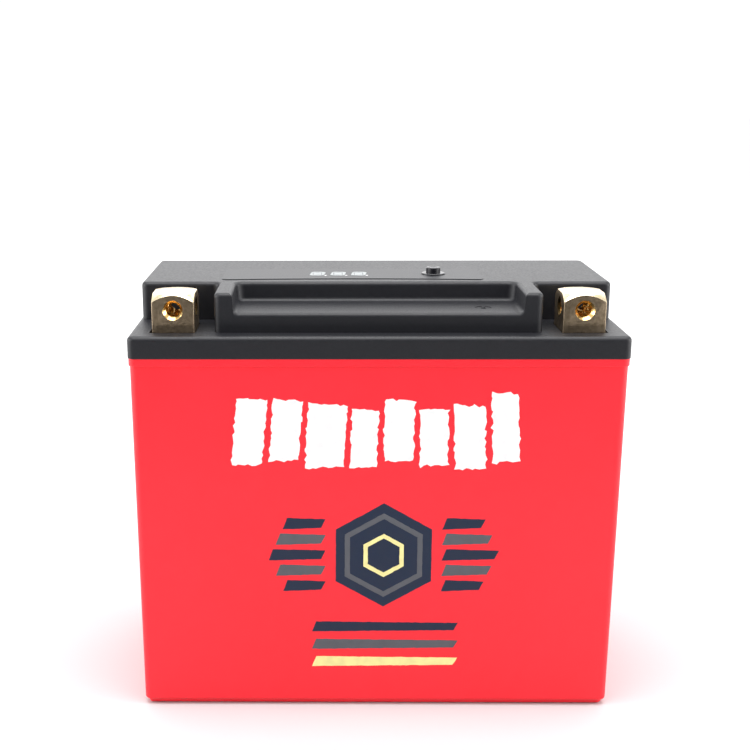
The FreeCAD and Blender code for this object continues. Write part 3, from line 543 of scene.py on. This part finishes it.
def finish_and_paint_light_on_terminal_faces(post, top):
    """Turned faces on the crown, thread finish in the bores, sawn finish elsewhere; the paler crown is
    a painted highlight and the darker sides are painted shade.
    """
    for polygon in post.data.polygons:
        c = polygon.center
        in_bore = math.hypot(min(abs(c.x), abs(c.y)), c.z - THREAD_Z) < SINK_RADIUS * 0.99
        inside = abs(c.x) < POST_HALF_X * 0.999 and abs(c.y) < POST_HALF_Y * 0.999
        in_dimple = math.hypot(c.x, c.y) <= 0.7 * MM
        if in_bore and inside and c.z < top - CROWN_DEPTH:
            polygon.material_index = 2
        # up-facing faces above the bores take the paler brass: painted highlight on the top
        elif polygon.normal.z > 0.2 and c.z > THREAD_Z and not in_dimple:
            polygon.material_index = 1
    smooth(post, 28)


# ---------------------------------------------------------------- printed front

def front_point(x, z, lift):
    """Point on the case's front face, lifted off it."""
    return Vector((x, FRONT_TOP_Y + (FRONT_TOP_Z - z) * FRONT_LEAN - lift, z))


def ragged_outline(outline, ragged):
    """Closed outline in millimetres with its edges shaken by up to the ragged distance."""
    points = []
    for (x0, z0), (x1, z1) in zip(outline, outline[1:] + outline[:1]):
        length = math.hypot(x1 - x0, z1 - z0)
        count = max(1, int(length / RAGGED_STEP))
        for k in range(count):
            x = x0 + (x1 - x0) * k / count
            z = z0 + (z1 - z0) * k / count
            shake = noise.noise_vector(Vector((x * 0.9, z * 0.9, 3.7))) * ragged
            points.append((x + shake.x, z + shake.y))
    return points


def printed_shape(name, outlines, material, lift, ragged):
    """Thin printed patch on the front from closed outlines in millimetres."""
    bm = bmesh.new()
    for outline in outlines:
        points = ragged_outline(outline, ragged)
        face = bm.faces.new([bm.verts.new(front_point(x * MM, z * MM, lift)) for x, z in points])
        face.normal_update()
        if face.normal.y > 0:
            face.normal_flip()
    bmesh.ops.triangulate(bm, faces=[f for f in bm.faces if len(f.verts) > 4])
    made = mesh_object(name, bm, [material], False)
    thick = made.modifiers.new("ink", "SOLIDIFY")
    thick.thickness = INK_THICKNESS
    thick.offset = 1.0
    apply_modifiers(made)
    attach(made, "battery")


def slanted_bar(x, base, width, height, lean):
    """Outline of one leaning brush-stroke bar."""
    return [(x, base), (x + width, base + 0.6), (x + width + lean, base + height - 0.5),
            (x + lean, base + height)]


def make_bar_row(material):
    """Row of leaning white strokes across the upper front."""
    x = STROKES_LEFT
    outlines = []
    for index, (height, width) in enumerate(zip(STROKE_HEIGHTS, STROKE_WIDTHS)):
        base = STROKES_BASE + 1.6 * math.sin(index * 1.9)
        outlines.append(slanted_bar(x, base, width, height, 2.2 - 0.5 * index))
        x += width + STROKE_GAP
    printed_shape("front_stroke_row", outlines, material, INK_LIFT, STROKE_RAGGED)


def hexagon(radius):
    """Outline of a hexagon that stands on a corner, about the badge's middle."""
    angles = [2 * math.pi * k / 6 + math.pi / 6 for k in range(6)]
    return [(BADGE_X + radius * math.cos(a), BADGE_Z + radius * math.sin(a)) for a in angles]


def bar_pair(row):
    """Outlines of the slanted bars at both sides of the hexagons, longest in the middle row."""
    base = BADGE_Z + BAR_TOP - BAR_PITCH * row - BAR_HEIGHT / 2
    long = BAR_LONGEST - BAR_SHORTENING * abs(row - 2)
    return [slanted_bar(x, base, long, BAR_HEIGHT, BAR_LEAN)
            for x in (BADGE_X + 21.0, BADGE_X - 22.6 - long)]


def make_badge(navy, grey, pale):
    """Plain badge: nested hexagons between two stacks of slanted bars, three stripes below."""
    layers = (("outer", 20.0, navy), ("band", 16.2, grey), ("middle", 14.0, navy), ("ring", 8.4, pale),
              ("core", 6.6, navy))
    for level, (name, radius, colour) in enumerate(layers):
        printed_shape("front_badge_" + name, [hexagon(radius)], colour, INK_LIFT + LAYER_STEP * level,
                      BADGE_RAGGED)
    for name, colour, rows in (("navy", navy, (0, 2, 4)), ("grey", grey, (1, 3))):
        bars = [outline for row in rows for outline in bar_pair(row)]
        printed_shape("front_badge_bars_" + name, bars, colour, INK_LIFT, PRINT_RAGGED)
    for row, (name, colour) in enumerate((("high", navy), ("middle", grey), ("low", pale))):
        stripe = slanted_bar(BADGE_X - STRIPE_LENGTH / 2, STRIPE_TOP - STRIPE_PITCH * row,
                             STRIPE_LENGTH, STRIPE_HEIGHT, BAR_LEAN)
        printed_shape("front_badge_stripe_" + name, [stripe], colour, INK_LIFT, PRINT_RAGGED)


# ---------------------------------------------------------------- lid, button and spring

def dot(x, y):
    """Small printed dot on the overlay."""
    low = PANEL_TOP - 0.05 * MM
    high = PANEL_TOP + 0.03 * MM
    narrow = DOT_RADIUS * 0.96
    bm = lathe([(0, low), (narrow, low), (DOT_RADIUS, (low + high) / 2), (narrow, high), (0, high)], 24)
    bmesh.ops.translate(bm, vec=(x, y, 0), verts=bm.verts)
    return bm


def window_lines(mid, top):
    """Fine outline of a battery with its cap, printed on one charge window."""
    lines = []
    for x0, x1, y0, y1 in ((-1.9, 1.7, 2.4, 2.8), (-1.9, -1.5, -2.6, 2.4), (1.3, 1.7, -2.6, 2.4),
                           (-1.9, 1.7, -3.0, -2.6), (-0.6, 0.6, 3.1, 3.6)):
        lines.append(block((mid.x + x0 * MM, mid.y + y0 * MM, top - 0.04 * MM),
                           (mid.x + x1 * MM, mid.y + y1 * MM, top + 0.01 * MM), 0.05 * MM))
    return lines


def make_window_marks(white, dark):
    """Printed dot beside each charge window, and a fine outline on the window."""
    dots = []
    lines = []
    for side in ("left", "middle", "right"):
        low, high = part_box("light_pipe_" + side)
        mid = (low + high) / 2
        dots.append(dot(mid.x + DOT_X, mid.y + DOT_Y))
        lines += window_lines(mid, high.z)
    join("window_dots", dots, white)
    join("window_outlines", lines, dark)


def make_button(material):
    """Push button with a dished top and a rounded rim, its collar and stem as in the switch."""
    low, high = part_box("push_button")
    middle = (low + high) / 2
    rim = [(BUTTON_RADIUS - BUTTON_RIM * (1 - math.cos(a)), high.z - BUTTON_RIM * (1 - math.sin(a)))
           for a in [math.pi / 2 * k / 8 for k in range(9)]]
    dish = [(r * MM, high.z - BUTTON_DISH * (1 - (r * MM / DISH_RADIUS) ** 2))
            for r in (1.9, 1.5, 1.1, 0.7, 0.3)]
    collar_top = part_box("switch_bushing")[0].z - COLLAR_GAP
    collar_bottom = collar_top - COLLAR_HEIGHT
    profile = [(0, low.z), (STEM_RADIUS, low.z), (STEM_RADIUS, collar_bottom),
               (COLLAR_RADIUS, collar_bottom), (COLLAR_RADIUS, collar_top), (BUTTON_RADIUS, collar_top),
               *rim, *dish, (0, high.z - BUTTON_DISH)]
    bm = lathe(profile, 64)
    bmesh.ops.translate(bm, vec=(middle.x, middle.y, 0), verts=bm.verts)
    made = mesh_object("push_button_dished", bm, [material])
    smooth(made, 40)
    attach(made, "push_button")
    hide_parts("push_button")


def coil(middle, low, high, radius):
    """Helix of round wire between two heights, its ends closed."""
    rise = high - low - 2 * SPRING_WIRE
    bm = bmesh.new()
    sections = []
    steps = SPRING_TURNS * SPRING_STEPS_PER_TURN
    angles = [2 * math.pi * k / SPRING_SIDES for k in range(SPRING_SIDES)]
    for i in range(steps + 1):
        turn = 2 * math.pi * SPRING_TURNS * i / steps
        out = Vector((math.cos(turn), math.sin(turn), 0))
        centre = Vector((middle.x, middle.y, low + SPRING_WIRE + rise * i / steps)) + out * radius
        sections.append([bm.verts.new(centre + out * SPRING_WIRE * math.cos(a)
                                      + Vector((0, 0, SPRING_WIRE * math.sin(a)))) for a in angles])
    bridge(bm, sections)
    cap_ends(bm, sections)
    return bm


def make_spring(material):
    """Return spring of round wire, fixed to the battery body."""
    low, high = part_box("button_spring")
    button_low, button_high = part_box("push_button")
    middle = (button_low + button_high) / 2
    bm = coil(middle, low.z, high.z, high.x - middle.x - SPRING_WIRE)
    made = mesh_object("button_spring_coil", bm, [material])
    smooth(made, 40)
    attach(made, "battery")
    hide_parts("button_spring")
    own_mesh(made)


# ---------------------------------------------------------------- stage

def softbox(name, place, aim, size, power):
    """Rectangular light that the camera doesn't see."""
    light = bpy.data.lights.new(name, "AREA")
    light.shape = "RECTANGLE"
    light.size, light.size_y = size
    light.energy = power
    made = bpy.data.objects.new(name, light)
    made.location = place
    made.rotation_euler = (Vector(aim) - Vector(place)).to_track_quat("-Z", "Y").to_euler()
    made.visible_camera = False
    bpy.context.scene.collection.objects.link(made)


def dark_card(name, corners, shades=True):
    """Dark card out of the camera's sight; one that doesn't shade only shows in reflections."""
    bm = bmesh.new()
    bm.faces.new([bm.verts.new(c) for c in corners])
    shader = Shader(name, (0.02, 0.02, 0.02), 0.9)
    shader.mottle((0.03, 0.03, 0.03), 3.0)
    made = mesh_object(name, bm, [shader.material], False)
    made.visible_camera = False
    made.visible_diffuse = shades
    made.visible_shadow = shades


def make_floor():
    """Large pale floor with a painted shadow: its colour is a shade darker round the object than far
    away.
    """
    bm = bmesh.new()
    bmesh.ops.create_grid(bm, x_segments=12, y_segments=12, size=6.0)
    shader = Shader("floor", (0.90, 0.90, 0.90), 0.9)
    shader.put("Specular IOR Level", 0.1)
    spread = shader.node("ShaderNodeVectorMath", operation="LENGTH")
    shader.link(shader.place, spread.inputs[0])
    # painted shadow: the floor's colour is darker near the object and pales to near white far away
    far = shader.ranged(spread.outputs["Value"], 0.0, 1.0, 0.15, 1.1)
    shader.ramp(far, [(0.0, (0.57, 0.57, 0.58)), (1.0, (0.99, 0.99, 0.99))])
    mesh_object("floor", bm, [shader.material], False)


def make_world():
    """White surroundings."""
    world = bpy.data.worlds.new("studio")
    world.use_nodes = True
    background = world.node_tree.nodes["Background"]
    background.inputs["Color"].default_value = (1.0, 1.0, 1.0, 1.0)
    background.inputs["Strength"].default_value = 1.03
    bpy.context.scene.world = world


def make_stage():
    """Floor with its painted shadow, dark cards and soft lights."""
    make_world()
    make_floor()
    dark_card("dark_card_low", [(-1.6, -2.2, 0.004), (1.6, -2.2, 0.004), (1.6, -0.36, 0.004),
                                (-1.6, -0.36, 0.004)], False)
    dark_card("dark_card_front", [(-1.1, -1.3, 0.0), (1.1, -1.3, 0.0), (1.1, -1.3, 1.0),
                                  (-1.1, -1.3, 1.0)])
    softbox("overhead", (0.0, -0.15, 0.95), (0, -0.05, 0.1), (0.9, 0.5), 8.5)
    softbox("behind", (0.0, 1.2, 0.95), (0, 0, 0.15), (2.6, 1.5), 16.0)
    for name, side in (("left", -1), ("right", 1)):
        softbox("front_" + name, (1.1 * side, -0.9, 0.55), (0, 0, 0.08), (0.7, 0.9), 1.8)
    for name, side in (("left", -1), ("right", 1)):
        softbox("side_" + name, (1.0 * side, -0.15, 0.35), (0, 0, 0.13), (0.5, 0.5), 5.0)
    bpy.context.scene.view_settings.view_transform = "Standard"


def make_camera():
    """Camera in front of the battery, a little above it."""
    data = bpy.data.cameras.new("camera")
    data.lens = CAMERA_LENS
    data.sensor_width = 36.0
    data.shift_x = CAMERA_SHIFT
    data.clip_start = 0.01
    data.dof.use_dof = False
    camera = bpy.data.objects.new("camera", data)
    yaw, pitch, roll = (math.radians(a) for a in CAMERA_TURN)
    ahead = Vector((math.sin(yaw) * math.cos(pitch), math.cos(yaw) * math.cos(pitch),
                    -math.sin(pitch)))
    right = Vector((math.cos(yaw), -math.sin(yaw), 0))
    up = right.cross(ahead)
    turned_right = right * math.cos(roll) + up * math.sin(roll)
    turned_up = up * math.cos(roll) - right * math.sin(roll)
    facing = Matrix((turned_right, turned_up, -ahead)).transposed().to_4x4()
    camera.matrix_world = Matrix.Translation(CAMERA_PLACE) @ facing
    bpy.context.scene.collection.objects.link(camera)
    bpy.context.scene.camera = camera


# ---------------------------------------------------------------- build

MATERIALS = make_materials()
for part in frame["record"]["subparts"]:
    node = NODES[part["node"]]
    node.data.materials.clear()
    node.data.materials.append(MATERIALS[part["material_slot"]])

BRASS_WITH_PAINTED_LIGHT = brass_finishes_with_painted_light()
for polarity, side in (("positive", 1), ("negative", -1)):
    made = make_terminal("terminal_" + polarity + "_detailed", side, BRASS_WITH_PAINTED_LIGHT)
    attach(made, "battery")
    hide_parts("terminal_" + polarity)

WHITE_INK = ink("white_ink", (0.90, 0.90, 0.90))
NAVY_INK = ink("navy_ink", (0.012, 0.022, 0.050))
GREY_INK = ink("grey_ink", (0.10, 0.105, 0.12))
PALE_INK = ink("pale_ink", (0.90, 0.82, 0.35))
make_bar_row(WHITE_INK)
make_badge(NAVY_INK, GREY_INK, PALE_INK)
make_window_marks(WHITE_INK, GREY_INK)
make_button(MATERIALS["switch_black"])
make_spring(MATERIALS["screw_steel"])

make_stage()
make_camera()
